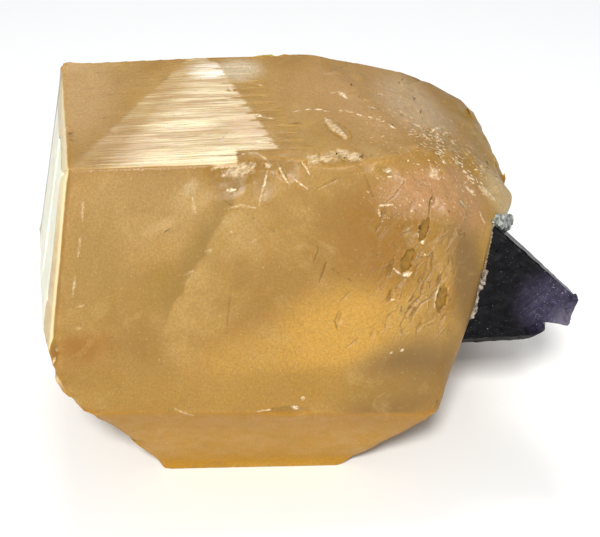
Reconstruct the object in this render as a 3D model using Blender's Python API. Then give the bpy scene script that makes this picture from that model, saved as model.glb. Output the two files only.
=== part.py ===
# Calcite with fluorite: a stout honey calcite crystal with a dark fluorite cube grown into its right side.
# The crystals are described by their faces, as a mineral collector would: each face has the compass
# direction that it looks to, its slope, and its distance from a point in the heart of the crystal.
import random
from math import cos, radians, sin

import bmesh
import bpy
from mathutils import Matrix, Vector, noise

MM = 0.001
GAP = 0.3  # clearance between crystals that grew against each other, in mm

# Direction 0 looks to the front (-Y), 90 to the right (+X), 180 to the back; a slope of 90 looks up.
CALCITE_HEART = Vector((-7.0, -0.7, 32.0))
CALCITE_FACES = {
    "front": (5.0, 21.0, 28.45),
    "striated": (5.0, 79.0, 31.20),
    "bevel_high": (-70.0, 43.0, 45.35),
    "bevel_low": (-43.5, 20.5, 44.45),
    "end": (-80.5, 11.5, 39.55),
    "lower": (2.0, -32.0, 35.85),
    "low_left": (-64.5, -21.5, 43.20),
    "under_left": (-60.5, -36.5, 40.05),
    "strip": (40.5, 13.0, 40.95),
    "right": (63.0, -1.0, 43.30),
    "low_right": (80.0, -18.5, 38.15),
    "under_right": (78.5, -41.5, 36.05),
    "base": (0.0, -90.0, 32.00),
    "end_back": (-107.0, 11.5, 41.40),
    "end_low": (-78.5, -16.5, 38.65),
    "upper_back": (-173.5, 30.5, 27.40),
    "back": (-175.0, -8.0, 34.15),
    "under_back": (-175.0, -48.0, 34.90),
    "dome_top": (13.5, 79.5, 31.15),
    "dome_mid": (88.5, 71.5, 35.30),
    "dome_side": (93.5, 56.0, 39.25),
    "dome_front": (17.0, 36.5, 34.85),
    "dome_foot": (70.0, 24.0, 46.60),
    "shoulder": (59.5, 37.5, 43.00),
    "right_back": (94.5, 26.0, 46.40),
    "right_end": (92.0, 0.0, 46.10),
}
DOME_FACES = ("dome_mid", "dome_side", "dome_front", "dome_foot", "shoulder", "right_back", "right_end")
EDGE_WEAR = 0.35       # how much of each sharp edge is rubbed off, in mm
DOME_WEAR = 1.1        # the edges between the dome's faces are rounder

FLUORITE_HEART = Vector((33.5, -12.7, 36.0))
FLUORITE_FACES = {
    "front": (-5.0, 22.0, 7.20),
    "upper": (109.5, 46.0, 6.55),
    "tip": (76.5, -19.5, 16.20),
    "back": (175.0, -22.0, 14.80),
    "cleavage": (0.5, -32.5, 13.60),
    "under": (155.5, -76.0, 7.20),
    "left": (-112.0, 36.0, 11.10),
}
FLUORITE_WEAR = 0.18
NOTCH_CORNER = (8.9, -10.7, -5.3)              # from the fluorite's heart, in mm
NOTCH_FACES = ((160.0, 75.0), (-104.0, -6.0))  # the roof and the wall of the notch, seen from inside it
NICK_CENTRE = (8.3, -11.35, -7.2)              # the corner beside the notch is broken off
NICK_FACE = (47.5, -49.5)
NICK_SIZE = 5.0

# Growth steps of the striated face, in mm
STEP_COUNT = 13
STEP_START = -31.0          # the left end of the longest steps
STEP_LENGTH = 50.0
STEP_SPAN = (-13.6, 16.0)   # from its front edge to its rear edge
STEP_DEPTH = 0.13           # at the middle of a step's tread
STEP_TILT = 4.0             # degrees between a tread and the face
STEP_LEAN = 1.2             # degrees that the steps rise to the right
STEP_CLEAR = 1.5            # how far each step's cut reaches above the face

# Shell-shaped chips: face, across, up, breadth, height, depth in mm, turn and tilt in degrees
CHIPS = [
    ("front", -0.6, 18.4, 10.5, 6.6, 0.85, -4.0, -31.0),
    ("front", -5.6, 15.4, 8.6, 6.8, 0.45, 24.0, -6.0),
    ("front", -1.0, 15.2, 6.0, 8.4, 0.40, -22.0, -4.0),
    ("front", 4.4, 17.4, 5.0, 6.8, 0.50, 30.0, -12.0),
    ("front", 11.6, 18.6, 11.5, 4.2, 0.65, -2.0, -30.0),
    ("front", 20.2, 16.4, 4.6, 3.0, 0.45, -20.0, -14.0),
    ("front", 1.8, -22.9, 9.5, 2.4, 0.50, 3.0, 26.0),
    ("front", -36.3, -10.4, 2.4, 6.4, 0.60, -6.0, 8.0),
    ("low_left", 15.5, 13.3, 13.0, 3.4, 1.00, -6.0, 0.0),
    ("under_left", 14.0, 18.8, 13.0, 3.2, 1.30, 6.0, 0.0),
    ("dome_top", 10.9, -6.4, 2.6, 6.4, 0.30, 24.0, 4.0),
    ("dome_mid", -4.9, -20.0, 3.6, 5.6, 0.70, 20.0, 8.0),
    ("shoulder", -1.0, 1.5, 3.0, 6.0, 0.35, 12.0, 0.0),
    ("upper_back", 23.0, 13.0, 14.0, 9.0, 1.10, 20.0, 10.0),
    ("upper_back", 16.0, 15.5, 9.0, 7.0, 0.80, -15.0, 8.0),
    ("back", -22.0, -4.0, 15.0, 12.0, 1.30, 35.0, 9.0),
    ("back", -14.0, -8.0, 12.0, 9.0, 0.90, -10.0, 12.0),
    ("end_low", 9.0, -9.0, 10.0, 13.0, 0.90, 15.0, -6.0),
    ("low_right", 14.0, 2.0, 9.0, 13.0, 0.80, -25.0, 5.0),
]

# Etch pits on the right of the front face: across, up, length, width, depth in mm
PITS = [
    (23.2, 1.9, 4.6, 1.7, 0.75),
    (26.0, 6.8, 4.2, 1.4, 0.65),
    (28.8, -5.2, 4.4, 1.4, 0.70),
    (28.6, -1.6, 2.8, 1.0, 0.50),
    (27.6, 11.4, 2.8, 1.0, 0.50),
    (20.2, 0.4, 3.4, 1.0, 0.45),
    (20.1, -4.0, 3.2, 0.9, 0.45),
    (19.4, 10.0, 3.4, 1.0, 0.45),
    (11.7, -7.6, 3.0, 0.8, 0.35),
    (24.2, 11.0, 3.0, 1.1, 0.50),
    (25.2, -9.2, 3.0, 0.8, 0.40),
    (17.0, -10.5, 2.6, 0.8, 0.35),
    (25.4, -1.6, 2.4, 0.8, 0.40),
]
PIT_LEAN = 70.0        # degrees from level, running up to the right

# Layers that stop short: face, the corner's place across and up in mm, depth in mm, turn in degrees
TERRACES = [
    ("under_left", -2.0, 4.0, 0.70, -8.0),
    ("under_left", -7.0, -6.5, 0.55, 97.0),
    ("dome_side", -4.0, 3.0, 0.30, -35.0),
    ("dome_mid", -2.0, 4.0, 0.25, -30.0),
    ("right_back", 3.0, -2.0, 0.45, 200.0),
    ("upper_back", -6.0, 4.0, 0.60, 12.0),
    ("upper_back", 4.0, -8.0, 0.55, 192.0),
    ("upper_back", -24.0, -2.0, 0.50, 100.0),
    ("back", 4.0, 2.0, 0.70, -12.0),
    ("back", -12.0, 6.0, 0.55, 84.0),
    ("under_back", 6.0, -3.0, 0.70, 20.0),
    ("under_back", -10.0, 8.0, 0.50, 196.0),
    ("end_back", 2.0, -4.0, 0.55, 170.0),
    ("end_low", -4.0, 6.0, 0.60, 100.0),
    ("low_right", 12.0, -8.0, 0.60, -60.0),
    ("under_right", 4.0, 4.0, 0.50, 150.0),
    ("end", 6.0, -5.0, 0.25, 14.0),
]
CLEAVAGE_LEAN = 0.21   # calcite breaks in rhombs, so a terrace's corner isn't square

# Growth hillocks: how many are tried on each face; those that would miss the face are left out
HILLOCKS = {"dome_mid": 170, "dome_side": 170, "shoulder": 240, "dome_front": 200, "right_back": 240,
            "upper_back": 36, "back": 50, "end_back": 90, "low_right": 50}
HILLOCK_SPREAD = 36.0
HILLOCK_SIZE = (2.0, 7.0)
HILLOCK_RISE = (0.12, 0.30)
HILLOCK_ROOT = 0.8     # how deep a hillock is sunk, in mm

# The small grey crystals: grains along the corner above the fluorite, and along its front contact
CRUST = {"start": Vector((35.4, -15.3, 44.8)), "end": Vector((37.3, -5.1, 41.2)), "wander": (0.8, 0.5, 0.6),
         "count": 30, "sizes": (1.3, 3.4), "seed": 5}
SEAM = {"start": Vector((32.6, -20.0, 38.6)), "end": Vector((29.4, -23.5, 29.3)), "wander": (0.35, 0.15, 0.4),
        "count": 20, "sizes": (0.8, 2.0), "seed": 8}


def facing(direction, slope):
    """Unit vector of a face that looks to a compass direction at a slope."""
    d, s = radians(direction), radians(slope)
    return Vector((sin(d) * cos(s), -cos(d) * cos(s), sin(s)))


def face_frame(faces, heart, name):
    """Matrix whose Z leaves the named face, X runs level across it and Y up it, in mm."""
    direction, slope, distance = faces[name]
    normal = facing(direction, slope)
    across = Vector((0, 0, 1)).cross(normal).normalized()
    frame = Matrix((across, normal.cross(across), normal)).transposed().to_4x4()
    frame.translation = heart + normal * distance
    return frame


def new_object(name, bm, collection):
    """Write a bmesh in mm to a new object in metres."""
    bmesh.ops.scale(bm, vec=(MM, MM, MM), verts=bm.verts)
    bmesh.ops.recalc_face_normals(bm, faces=bm.faces)
    mesh = bpy.data.meshes.new(name)
    bm.to_mesh(mesh)
    bm.free()
    obj = bpy.data.objects.new(name, mesh)
    collection.objects.link(obj)
    return obj


def slice_off(bm, point, normal):
    """Cut away what lies beyond a plane and close the cut."""
    cut = bmesh.ops.bisect_plane(
        bm, geom=bm.verts[:] + bm.edges[:] + bm.faces[:], dist=1e-5,
        plane_co=point, plane_no=normal, clear_outer=True)
    rim = [e for e in cut["geom_cut"] if isinstance(e, bmesh.types.BMEdge)]
    if len(rim) > 2:
        bmesh.ops.contextual_create(bm, geom=rim)


def crystal(faces, heart, swell=0.0, block=160.0):
    """A convex crystal: a block with one plane cut for each face."""
    bm = bmesh.new()
    bmesh.ops.create_cube(bm, size=block, matrix=Matrix.Translation(heart))
    for direction, slope, distance in faces.values():
        normal = facing(direction, slope)
        slice_off(bm, heart + normal * (distance + swell), normal)
    bmesh.ops.remove_doubles(bm, verts=bm.verts, dist=0.01)
    return bm


def wear_edges(bm, wear, round_normals=(), round_wear=0.0):
    """Plane off each sharp edge, more where it lies between two of the round faces."""

    def is_soft(face):
        return any(face.normal.dot(normal) > 0.9999 for normal in round_normals)

    bm.normal_update()
    cuts = []
    for edge in bm.edges:
        first, second = edge.link_faces
        bend = first.normal.angle(second.normal)
        if bend < radians(9):
            continue
        width = round_wear if is_soft(first) and is_soft(second) else wear
        middle = (edge.verts[0].co + edge.verts[1].co) / 2
        outward = (first.normal + second.normal).normalized()
        cuts.append((middle - outward * width * sin(bend / 2), outward))
    for point, normal in cuts:
        slice_off(bm, point, normal)
    bmesh.ops.remove_doubles(bm, verts=bm.verts, dist=0.01)


def boolean(target, other, operation, overlapping=False):
    """Join or cut the target with another object, which stays as a hidden guide."""
    other.hide_render = True
    other.display_type = "WIRE"
    modifier = target.modifiers.new(operation.title(), "BOOLEAN")
    modifier.operation = operation
    modifier.solver = "EXACT"
    modifier.use_self = overlapping
    modifier.object = other


def stone(obj, name, colour, roughness):
    """One plain material of the crystal's colour."""
    material = bpy.data.materials.new(name)
    material.use_nodes = True
    shader = material.node_tree.nodes["Principled BSDF"]
    shader.inputs["Base Color"].default_value = (*colour, 1)
    shader.inputs["Roughness"].default_value = roughness
    shader.inputs["Metallic"].default_value = 0
    obj.data.materials.append(material)


def growth_steps(cutters):
    """Low sawtooth steps that run level along the striated face."""
    chance = random.Random(3)
    bm = bmesh.new()
    frame = face_frame(CALCITE_FACES, CALCITE_HEART, "striated")
    low, high = STEP_SPAN
    pitch = (high - low) / STEP_COUNT
    for i in range(STEP_COUNT):
        width = pitch * chance.uniform(0.6, 0.9)
        length = STEP_LENGTH * chance.uniform(0.65, 1.0)
        across = STEP_START + length / 2 + chance.uniform(0, STEP_LENGTH - length)
        place = (frame @ Matrix.Translation((across, low + (i + 0.5) * pitch, 0))
                 @ Matrix.Rotation(radians(STEP_LEAN), 4, "Z") @ Matrix.Rotation(radians(STEP_TILT), 4, "X")
                 @ Matrix.Translation((0, 0, (STEP_CLEAR - STEP_DEPTH) / 2))
                 @ Matrix.Diagonal((length, width, STEP_CLEAR + STEP_DEPTH, 1)))
        bmesh.ops.create_cube(bm, size=1, matrix=place)
    return new_object("step_guide", bm, cutters)


def scoop(bm, frame, across, up, breadth, height, depth, turn, tilt, detail):
    """A flattened, slightly uneven ball whose mouth has the given size where it dips into a face."""
    thick = 5.0 * depth
    mouth = (1 - ((thick - depth) / thick) ** 2) ** 0.5
    place = (frame @ Matrix.Translation((across, up, 0))
             @ Matrix.Rotation(radians(turn), 4, "Z") @ Matrix.Rotation(radians(tilt), 4, "X")
             @ Matrix.Translation((0, 0, thick - depth))
             @ Matrix.Diagonal((breadth / 2 / mouth, height / 2 / mouth, thick, 1)))
    ball = bmesh.ops.create_icosphere(bm, subdivisions=detail, radius=1)["verts"]
    for vert in ball:
        uneven = noise.noise(vert.co * 1.7 + Vector((across, up, depth)) * 3)
        vert.co *= 1 + 0.05 * uneven
    bmesh.ops.transform(bm, matrix=place, verts=ball)


def chips(cutters):
    """Shallow shell-shaped scars where the stone was struck."""
    bm = bmesh.new()
    for face, *shape in CHIPS:
        scoop(bm, face_frame(CALCITE_FACES, CALCITE_HEART, face), *shape, detail=3)
    return new_object("chip_guide", bm, cutters)


def etch_pits(cutters):
    """Narrow slanting pits, steeper on their right side."""
    bm = bmesh.new()
    frame = face_frame(CALCITE_FACES, CALCITE_HEART, "front")
    for across, up, length, width, depth in PITS:
        scoop(bm, frame, across, up, length, width, depth, PIT_LEAN, 14.0, detail=2)
    return new_object("pit_guide", bm, cutters)


def terraces(cutters):
    """Flat steps: each takes one layer off a face beyond the two sides of a rhombic corner."""
    reach = 90.0
    clear = 3.0
    lean = Matrix(((1, CLEAVAGE_LEAN, 0, 0), (0, 1, 0, 0), (0, 0, 1, 0), (0, 0, 0, 1)))
    bm = bmesh.new()
    for face, across, up, depth, turn in TERRACES:
        place = (face_frame(CALCITE_FACES, CALCITE_HEART, face) @ Matrix.Translation((across, up, 0))
                 @ Matrix.Rotation(radians(turn), 4, "Z") @ lean
                 @ Matrix.Translation((reach / 2, reach / 2, (clear - depth) / 2))
                 @ Matrix.Diagonal((reach, reach, clear + depth, 1)))
        bmesh.ops.create_cube(bm, size=1, matrix=place)
    return new_object("terrace_guide", bm, cutters)


def depth_inside(point, faces, heart):
    """How far a point lies inside a crystal, in mm; less than zero outside."""
    return min(distance - (point - heart).dot(facing(direction, slope))
               for direction, slope, distance in faces.values())


def hillocks(cutters):
    """Low blunt pyramids that stand a little proud of the rough faces."""
    chance = random.Random(11)
    bm = bmesh.new()
    for face, count in HILLOCKS.items():
        frame = face_frame(CALCITE_FACES, CALCITE_HEART, face)
        for _ in range(count):
            size = chance.uniform(*HILLOCK_SIZE)
            rise = chance.uniform(*HILLOCK_RISE)
            across, up = chance.uniform(-1, 1), chance.uniform(-1, 1)
            spot = frame @ Vector((across * HILLOCK_SPREAD, up * HILLOCK_SPREAD, -HILLOCK_ROOT))
            if depth_inside(spot, CALCITE_FACES, CALCITE_HEART) < HILLOCK_ROOT * 0.95:
                continue
            if depth_inside(spot, FLUORITE_FACES, FLUORITE_HEART) > -HILLOCK_SIZE[1] / 2:
                continue
            place = (Matrix.Translation(spot) @ frame.to_3x3().to_4x4()
                     @ Matrix.Rotation(radians(35 + chance.uniform(-8, 8)), 4, "Z")
                     @ Matrix.Rotation(radians(chance.uniform(-2, 2)), 4, "X")
                     @ Matrix.Translation((0, 0, (HILLOCK_ROOT + rise) / 2))
                     @ Matrix.Diagonal((size * chance.uniform(0.3, 0.5), size * 0.5, HILLOCK_ROOT + rise, 1)))
            bmesh.ops.create_cone(bm, cap_ends=True, segments=chance.choice((4, 5, 6)),
                                  radius1=1.2, radius2=0.5, depth=1, matrix=place)
    return new_object("hillock_guide", bm, cutters)


def calcite(parts, cutters):
    """The main crystal: twenty-six faces, worn edges, steps, chips, pits, and a socket for the cube."""
    bm = crystal(CALCITE_FACES, CALCITE_HEART)
    wear_edges(bm, EDGE_WEAR, [facing(*CALCITE_FACES[name][:2]) for name in DOME_FACES], DOME_WEAR)
    obj = new_object("calcite_crystal", bm, parts)
    boolean(obj, hillocks(cutters), "UNION", overlapping=True)
    boolean(obj, growth_steps(cutters), "DIFFERENCE")
    boolean(obj, terraces(cutters), "DIFFERENCE", overlapping=True)
    boolean(obj, chips(cutters), "DIFFERENCE", overlapping=True)
    boolean(obj, etch_pits(cutters), "DIFFERENCE", overlapping=True)
    socket = new_object("socket_guide", crystal(FLUORITE_FACES, FLUORITE_HEART, GAP), cutters)
    boolean(obj, socket, "DIFFERENCE")
    stone(obj, "honey_calcite", (0.56, 0.36, 0.13), 0.35)
    return obj


def fluorite(parts, cutters):
    """The dark cube: three cube faces, cleaved below and at the tip, with a notch under the tip."""
    bm = crystal(FLUORITE_FACES, FLUORITE_HEART)
    wear_edges(bm, FLUORITE_WEAR)
    obj = new_object("fluorite_crystal", bm, parts)
    boolean(obj, notch(cutters), "DIFFERENCE")
    boolean(obj, nick(cutters), "DIFFERENCE")
    stone(obj, "violet_fluorite", (0.02, 0.012, 0.035), 0.2)
    return obj


def notch(cutters):
    """The step under the tip: everything below its roof and to the right of its wall."""
    corner = FLUORITE_HEART + Vector(NOTCH_CORNER)
    bm = bmesh.new()
    bmesh.ops.create_cube(bm, size=40, matrix=Matrix.Translation(corner))
    for direction, slope in NOTCH_FACES:
        slice_off(bm, corner, facing(direction, slope))
    return new_object("notch_guide", bm, cutters)


def nick(cutters):
    """The broken corner beside the notch: a small block, cut off flat towards the cube."""
    bm = bmesh.new()
    centre = FLUORITE_HEART + Vector(NICK_CENTRE)
    bmesh.ops.create_cube(bm, size=NICK_SIZE, matrix=Matrix.Translation(centre))
    slice_off(bm, centre, -facing(*NICK_FACE))
    return new_object("nick_guide", bm, cutters)


def crust(name, parts, cutters, start, end, wander, count, sizes, seed):
    """A crust of small blunt crystals along a line, kept clear of both large crystals."""
    chance = random.Random(seed)
    grains = bmesh.new()
    for i in range(count):
        stray = Vector([chance.uniform(-w, w) for w in wander])
        size = (sizes[0] + (sizes[1] - sizes[0]) * chance.random() ** 2) / 2
        place = (Matrix.Translation(start.lerp(end, i / (count - 1)) + stray)
                 @ Matrix.Rotation(chance.uniform(0, 6.28), 4, "Z") @ Matrix.Rotation(chance.uniform(0.2, 1.4), 4, "X")
                 @ Matrix.Diagonal((size, size, size * chance.uniform(0.9, 1.3), 1)))
        bmesh.ops.create_icosphere(grains, subdivisions=1, radius=1, matrix=place)
    core = bmesh.new()
    line = end - start
    middle = Matrix.Translation((start + end) / 2) @ line.to_track_quat("Z", "Y").to_matrix().to_4x4()
    thick = sizes[0] * 0.4
    bmesh.ops.create_cone(core, cap_ends=True, segments=8, radius1=thick, radius2=thick,
                          depth=line.length, matrix=middle)
    obj = new_object(name, core, parts)
    boolean(obj, new_object(name + "_grains", grains, cutters), "UNION", overlapping=True)
    for label, faces, heart in (("calcite", CALCITE_FACES, CALCITE_HEART),
                                ("fluorite", FLUORITE_FACES, FLUORITE_HEART)):
        clear = new_object(name + "_" + label + "_guide", crystal(faces, heart, GAP), cutters)
        boolean(obj, clear, "DIFFERENCE")
    stone(obj, "grey_druse", (0.5, 0.49, 0.47), 0.4)
    return obj


def main():
    for obj in list(bpy.data.objects):
        bpy.data.objects.remove(obj)
    parts = bpy.data.collections.new("calcite_with_fluorite")
    cutters = bpy.data.collections.new("guides")
    bpy.context.scene.collection.children.link(parts)
    bpy.context.scene.collection.children.link(cutters)
    calcite(parts, cutters)
    fluorite(parts, cutters)
    crust("druse_crust", parts, cutters, **CRUST)
    crust("druse_seam", parts, cutters, **SEAM)


main()
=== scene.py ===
import random
from math import cos, pi, radians, sin, tan

import bmesh
import bpy
import numpy as np
from mathutils import Matrix, Vector, noise


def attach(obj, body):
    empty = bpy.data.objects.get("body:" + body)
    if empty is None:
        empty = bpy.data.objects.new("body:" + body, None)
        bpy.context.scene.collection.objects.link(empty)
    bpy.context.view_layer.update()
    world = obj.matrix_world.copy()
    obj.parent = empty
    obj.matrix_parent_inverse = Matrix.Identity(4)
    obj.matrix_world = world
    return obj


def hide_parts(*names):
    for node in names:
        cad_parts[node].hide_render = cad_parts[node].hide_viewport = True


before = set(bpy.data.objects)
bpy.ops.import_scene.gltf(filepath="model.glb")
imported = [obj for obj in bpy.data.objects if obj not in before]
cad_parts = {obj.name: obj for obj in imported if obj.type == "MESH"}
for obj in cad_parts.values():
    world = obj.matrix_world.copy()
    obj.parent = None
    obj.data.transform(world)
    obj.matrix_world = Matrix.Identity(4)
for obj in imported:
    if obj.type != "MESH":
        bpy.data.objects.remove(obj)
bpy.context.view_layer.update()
mm = 0.001

# Faces as (direction, slope, distance from the heart): direction 0 looks at the front, 90 to the right
calcite = {
    "heart": Vector((-7, -0.7, 32)),
    "faces": {
        "front": (5, 21, 28.45),
        "striated": (5, 79, 31.2),
        "bevel_high": (-70, 43, 45.35),
        "bevel_low": (-43.5, 20.5, 44.45),
        "end": (-80.5, 11.5, 39.55),
        "lower": (2, -32, 35.85),
        "low_left": (-64.5, -21.5, 43.2),
        "under_left": (-60.5, -36.5, 40.05),
        "strip": (40.5, 13, 40.95),
        "right": (63, -1, 43.3),
        "low_right": (80, -18.5, 38.15),
        "under_right": (78.5, -41.5, 36.05),
        "base": (0, -90, 32),
        "end_back": (-107, 11.5, 41.4),
        "end_low": (-78.5, -16.5, 38.65),
        "upper_back": (-173.5, 30.5, 27.4),
        "back": (-175, -8, 34.15),
        "under_back": (-175, -48, 34.9),
        "dome_top": (13.5, 79.5, 31.15),
        "dome_mid": (88.5, 71.5, 35.3),
        "dome_side": (93.5, 56, 39.25),
        "dome_front": (17, 36.5, 34.85),
        "dome_foot": (70, 24, 46.6),
        "shoulder": (59.5, 37.5, 43),
        "right_back": (94.5, 26, 46.4),
        "right_end": (92, 0, 46.1),
    },
}


def facing(direction, slope):
    d, s = radians(direction), radians(slope)
    return Vector((sin(d) * cos(s), -cos(d) * cos(s), sin(s)))


def faceFrame(name):
    # Z leaves the face, X runs level across it and Y up it, all in mm
    direction, slope, distance = calcite["faces"][name]
    normal = facing(direction, slope)
    across = Vector((0, 0, 1)).cross(normal).normalized()
    place = Matrix((across, normal.cross(across), normal)).transposed().to_4x4()
    place.translation = calcite["heart"] + normal * distance
    return place


def onFace(name, across, up, depth=0.0):
    return faceFrame(name) @ Vector((across, up, -depth))


def local(points, name):
    # across, up and height of each point over the named face, in mm
    place = np.array(faceFrame(name).inverted())
    return points @ place[:3, :3].T + place[:3, 3]


def ramp(values, low, high):
    t = np.clip((values - low) / (high - low), 0, 1)
    return t * t * (3 - 2 * t)


def band(values, low, high, soft):
    return ramp(values, low - soft, low + soft) * (1 - ramp(values, high - soft, high + soft))


def distances(points):
    # how deep each point lies inside each of the crystal's faces, in mm
    depths = []
    for direction, slope, distance in calcite["faces"].values():
        normal = np.array(facing(direction, slope))
        depths.append(distance - (points - np.array(calcite["heart"])) @ normal)
    return np.stack(depths, axis=1)


def noiseAt(points, scale, seed, octaves=3):
    shift = Vector((seed * 7.3, seed * 3.1, seed * 5.7))
    return np.array([noise.fractal(Vector(p) / scale + shift, 1.0, 2.0, octaves) for p in points])


def solidMesh(node, weld):
    bm = bmesh.new()
    bm.from_mesh(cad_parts[node].data)
    bmesh.ops.remove_doubles(bm, verts=bm.verts, dist=weld)
    return bm


def plainFaces(bm):
    # joins what is flat, then cuts it into few triangles
    bmesh.ops.dissolve_limit(bm, angle_limit=radians(0.3), verts=bm.verts, edges=bm.edges)
    bmesh.ops.triangulate(bm, faces=bm.faces)


def smooth(bm, verts):
    bmesh.ops.smooth_vert(bm, verts=verts, factor=0.5, use_axis_x=True, use_axis_y=True, use_axis_z=True)


def addGrain(bm, place, size, spin, tilt, worn, segments):
    # a small cube with worn corners: place and size in mm, worn as a share of its size
    turn = Matrix.Rotation(spin, 4, "Z") @ Matrix.Rotation(tilt, 4, "X")
    grain = bmesh.ops.create_cube(bm, size=size * mm, matrix=Matrix.Translation(place * mm) @ turn)
    bmesh.ops.bevel(bm, geom=grain["verts"], offset=size * worn * mm, segments=segments, profile=0.5,
                    affect="VERTICES", material=-1)


def evenOut(bm, keep=None):
    # swap the diagonals of flat neighbours, so that no sliver triangles stay
    flat = [e for e in bm.edges if len(e.link_faces) == 2 and e.calc_face_angle(0) < radians(0.6)]
    if keep:
        flat = [e for e in flat if e.link_faces[0].normal.dot(keep) < 0.999]
    beside = list({f for e in flat for f in e.link_faces})
    bmesh.ops.beautify_fill(bm, faces=beside, edges=flat, use_restrict_tag=False, method="ANGLE")


def cutWide(bm):
    wide = [f for f in bm.faces if len(f.verts) > 3]
    bmesh.ops.triangulate(bm, faces=wide, quad_method="BEAUTY", ngon_method="BEAUTY")


def refine(bm, lengthAt, rounds, keep=None):
    # halve every edge that is longer than the detail wanted at its middle
    evenOut(bm, keep)
    for _ in range(rounds):
        edges = bm.edges[:]
        ends = np.array([(*e.verts[0].co, *e.verts[1].co) for e in edges]) / mm
        first, second = ends[:, :3], ends[:, 3:]
        tooLong = np.linalg.norm(first - second, axis=1) > lengthAt((first + second) / 2)
        if not tooLong.any():
            break
        bmesh.ops.subdivide_edges(bm, edges=[e for e, t in zip(edges, tooLong) if t], cuts=1)
        cutWide(bm)
        evenOut(bm, keep)


# How fine the crystal's mesh is, how rough its faces are and how its outline goes, in mm
skin = {
    "coarse": 3.0,
    "medium": 2.2,
    "foot": 1.1,
    "fine": 0.95,
    "edge": 0.8,
    "net": 0.55,
    "mark": 0.29,
    "seed": 12,
    "ridges": 38,
    "ridgeSpan": (-14.4, 17.6),
    "ridgeLean": 1.2,
    "ridgeHeight": (0.03, 0.09),
    # where the outline swells or draws in: place, reach and push in mm
    "swells": [
        ((23.4, 18, 58.1), 9, (0, 0.2, 0.4)),
        ((-41.5, 8.5, 66.3), 5, (-0.6, 0, 0.5)),
        ((-36.8, -36.6, 23.5), 9, (-1.5, 0, -0.6)),
        ((14, -26, 5.5), 8, (0.2, 0, -0.5)),
        ((18.7, -30, 13), 8, (0.3, 0, -0.5)),
        ((23.6, -33.5, 18.9), 7, (0.3, 0, -0.5)),
        ((37.2, -2, 49.4), 9, (-0.7, 0, -0.3)),
        ((38.4, -5.9, 44.2), 6.5, (1, -0.3, 0)),
    ],
    "backStretch": 0.75,  # the back edge of the top lies further back on the left
    "footHeight": 3.2,
    "footStep": 1.5,  # the foot comes forward
    "footSpan": (-27, 11),
    "scaly": (26.5, -10, 57),  # centre of the scaly growth on the dome
}

# Kinds of marks on the crystal: width and height in mm, and how frosted, dark or golden they look
markKinds = {
    "pit": {"width": 1.75, "height": -0.50, "glow": 1.0},
    "groove": {"width": 0.42, "height": -0.12, "shade": 0.85},
    "crack": {"width": 0.38, "height": -0.08, "shade": 0.6},
    "line": {"width": 0.45, "height": 0.04, "frost": 0.85},
    "faint": {"width": 0.5, "height": 0.0, "frost": 0.45},
    "dash": {"width": 0.62, "height": 0.05, "frost": 0.95},
    "flake": {"width": 1.0, "height": -0.06, "frost": 0.95},
    "patch": {"width": 3.0, "height": -0.08, "frost": 0.55},
    "scale": {"width": 1.9, "height": 0.10, "frost": 0.55},
}

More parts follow.
